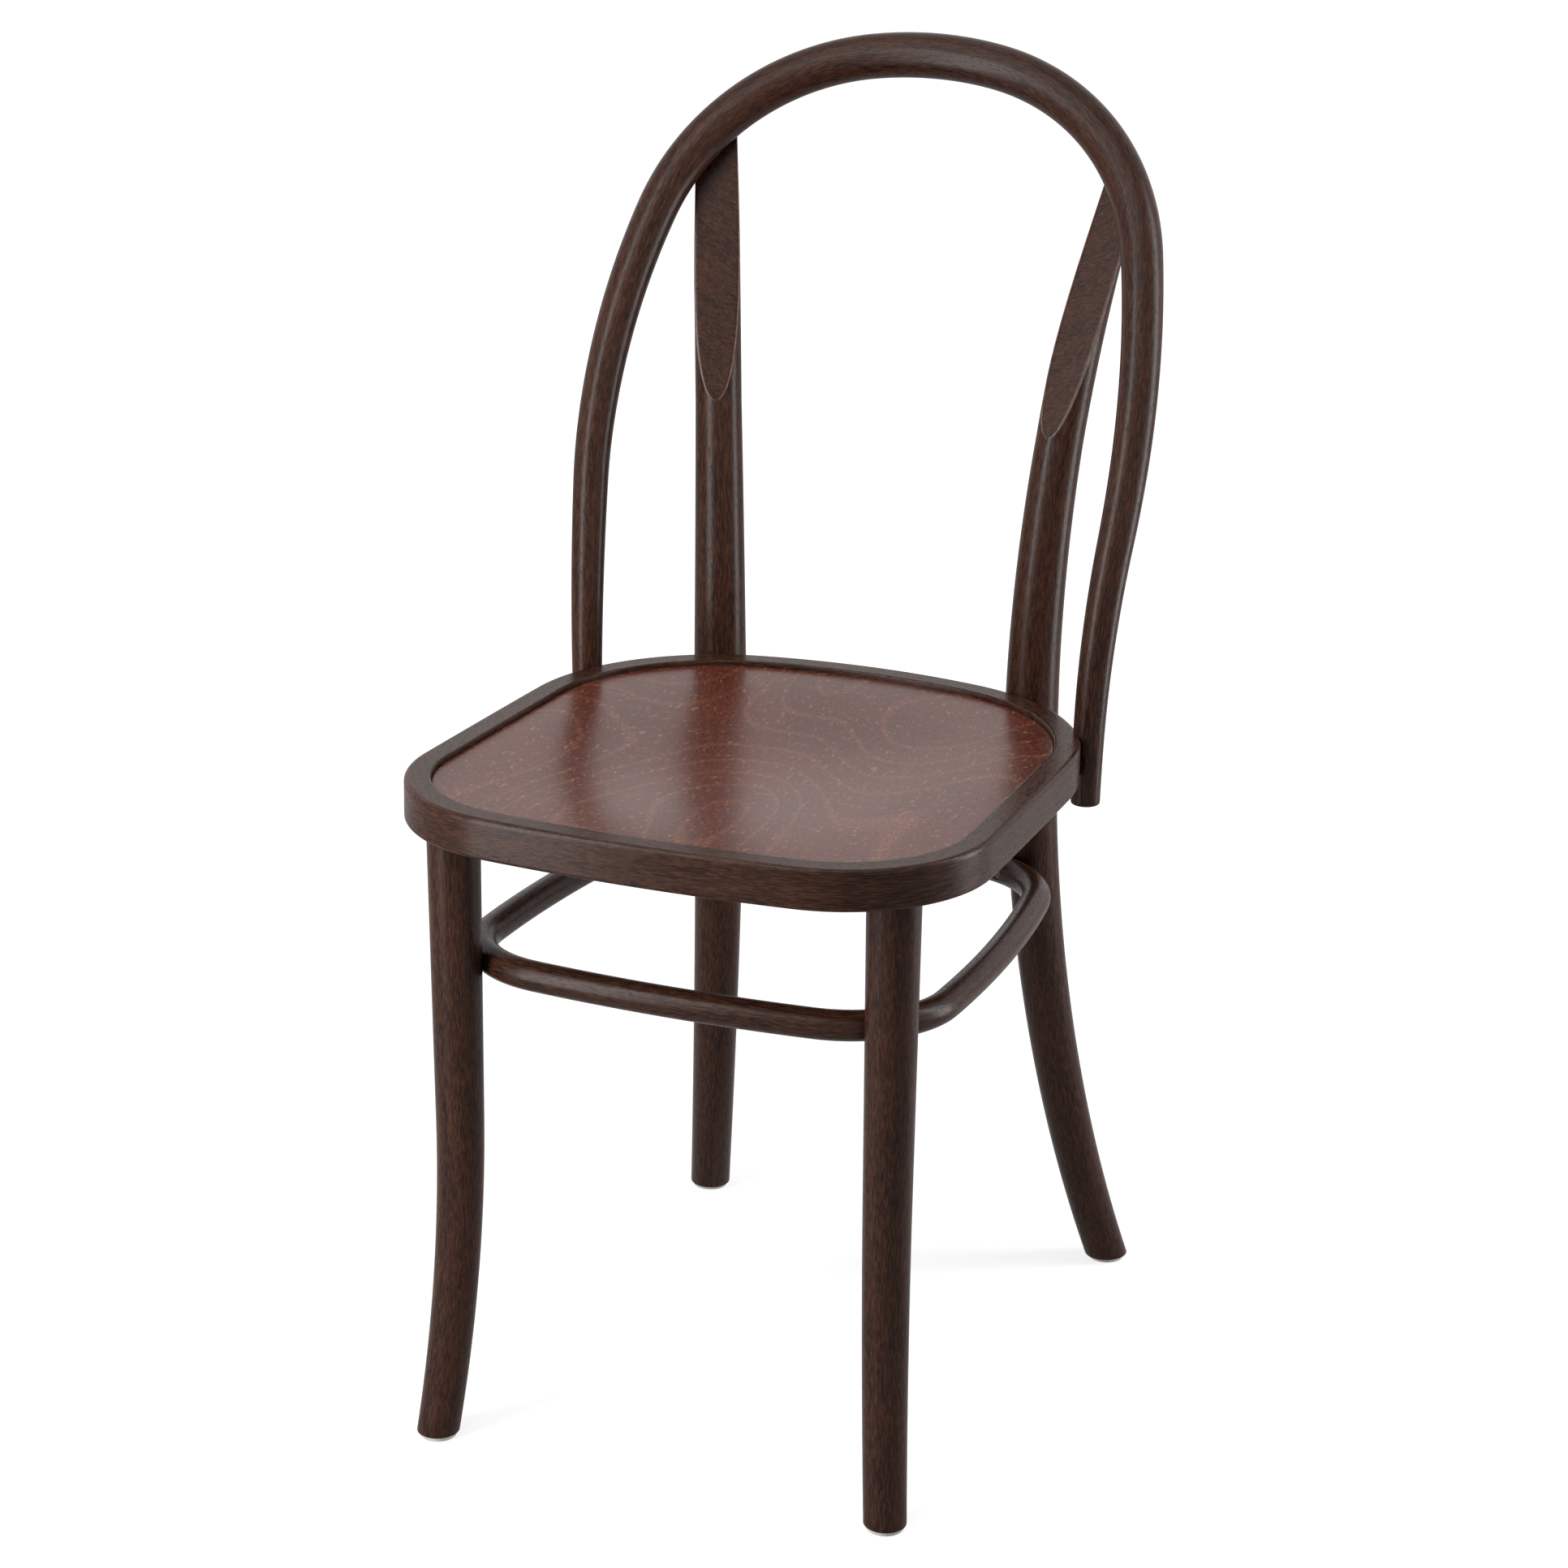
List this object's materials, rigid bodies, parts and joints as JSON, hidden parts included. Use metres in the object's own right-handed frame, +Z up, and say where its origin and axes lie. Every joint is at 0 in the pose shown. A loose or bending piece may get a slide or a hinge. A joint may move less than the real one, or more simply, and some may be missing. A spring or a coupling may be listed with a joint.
{
  "type": "dining chair",
  "caption": "Armless dining chair of bent round wood with a tall hoop back, sabre legs, a ring stretcher and a dished plywood seat in a moulded rim.",
  "frame": {"origin": "on the floor under the middle of the bounding box", "axes": "+Z up, the chair faces -Y, +X to the right as seen from the front"},
  "size_m": [0.4126, 0.5248, 0.8903],
  "materials": {
    "stained_wood": "dark brown stain under a semi-matte lacquer",
    "panel_plywood": "red-brown stain under a glossy lacquer",
    "glide_plastic": "plain grey",
    "steel": "zinc plated",
    "brass": "plain"
  },
  "bodies": {
    "root": {"back_hoop": "stained_wood", "front_leg_left": "stained_wood", "front_leg_lock_screws": "steel", "front_leg_right": "stained_wood", "glide_front_left": "glide_plastic", "glide_front_right": "glide_plastic", "glide_nails": "steel", "glide_rear_left": "glide_plastic", "glide_rear_right": "glide_plastic", "hoop_end_screws": "steel", "hoop_top_screws": "steel", "panel_screws": "steel", "rear_post_bolts": "steel", "rear_post_inserts": "brass", "rear_post_left": "stained_wood", "rear_post_right": "stained_wood", "rear_post_washers": "steel", "seat_panel": "panel_plywood", "seat_rim": "stained_wood", "stretcher_ring": "stained_wood", "stretcher_screws": "steel"}
  },
  "joints": []
}
